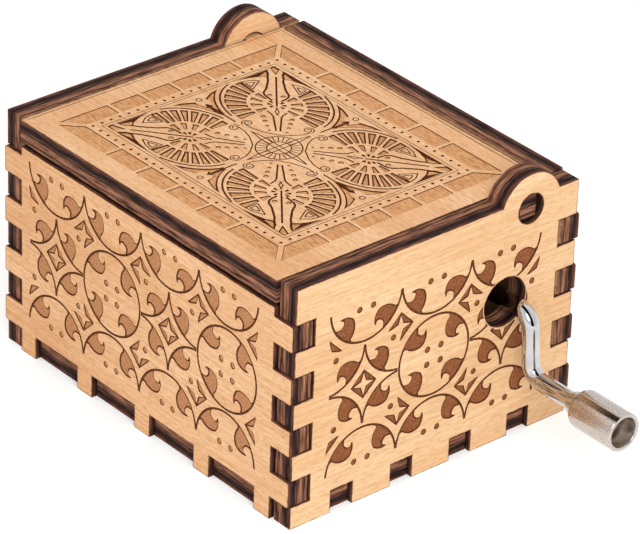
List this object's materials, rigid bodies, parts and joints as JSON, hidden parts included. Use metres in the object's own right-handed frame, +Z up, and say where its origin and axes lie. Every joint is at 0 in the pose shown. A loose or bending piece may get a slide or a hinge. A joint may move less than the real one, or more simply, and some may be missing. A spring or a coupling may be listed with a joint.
{
  "type": "music box",
  "caption": "Hand-cranked music box in an engraved plywood case with a hinged lid, a bent wire crank, and a worm-driven pinned cylinder that plays a steel comb",
  "frame": {"origin": "middle of the underside of the case", "axes": "+Z up, +X along the case towards the crank, the front panel faces -Y and the lid hinges near +Y"},
  "size_m": [0.0863, 0.052, 0.0416],
  "materials": {
    "plywood": "matte",
    "cast_bedplate": "satin",
    "steel_screws": "satin",
    "steel": "satin",
    "brass": "satin",
    "nylon": "matte",
    "chrome_wire": "polished",
    "nickel_knob": "satin"
  },
  "bodies": {
    "case": {"front_panel": "plywood", "back_panel": "plywood", "left_panel": "plywood", "right_panel": "plywood", "bottom_panel": "plywood", "bedplate": "cast_bedplate", "bedplate_screws": "steel_screws", "cylinder_arbor": "steel", "comb": "steel", "comb_washers": "steel_screws", "comb_screws": "steel_screws"},
    "lid": {"lid": "plywood"},
    "crank": {"crank_rod": "chrome_wire", "worm": "brass", "thrust_washer": "steel_screws", "rod_collar": "brass", "knob_stop": "chrome_wire"},
    "cylinder": {"cylinder_barrel": "brass", "cylinder_end_cap": "nylon", "worm_wheel": "nylon"},
    "knob": {"crank_knob": "nickel_knob"}
  },
  "joints": [
    {"name": "lid_hinge", "type": "hinge", "parent": "case", "child": "lid", "pos_m": [0, 0.0166, 0.0361], "axis": [-1, 0, 0], "range_deg": [0, 145]},
    {"name": "crank_spin", "type": "hinge", "parent": "case", "child": "crank", "pos_m": [0.034, 0.0145, 0.0215], "axis": [1, 0, 0], "continuous": true},
    {"name": "cylinder_spin", "type": "hinge", "parent": "case", "child": "cylinder", "pos_m": [0.006, 0, 0.0133], "axis": [0, 1, 0], "continuous": true},
    {"name": "knob_spin", "type": "hinge", "parent": "crank", "child": "knob", "pos_m": [0.04985, 0.01521, 0.01127], "axis": [1, 0, 0], "continuous": true}
  ],
  "couplings": [
    {"joint": "cylinder_spin", "follows": "crank_spin", "ratio": -0.0625}
  ]
}
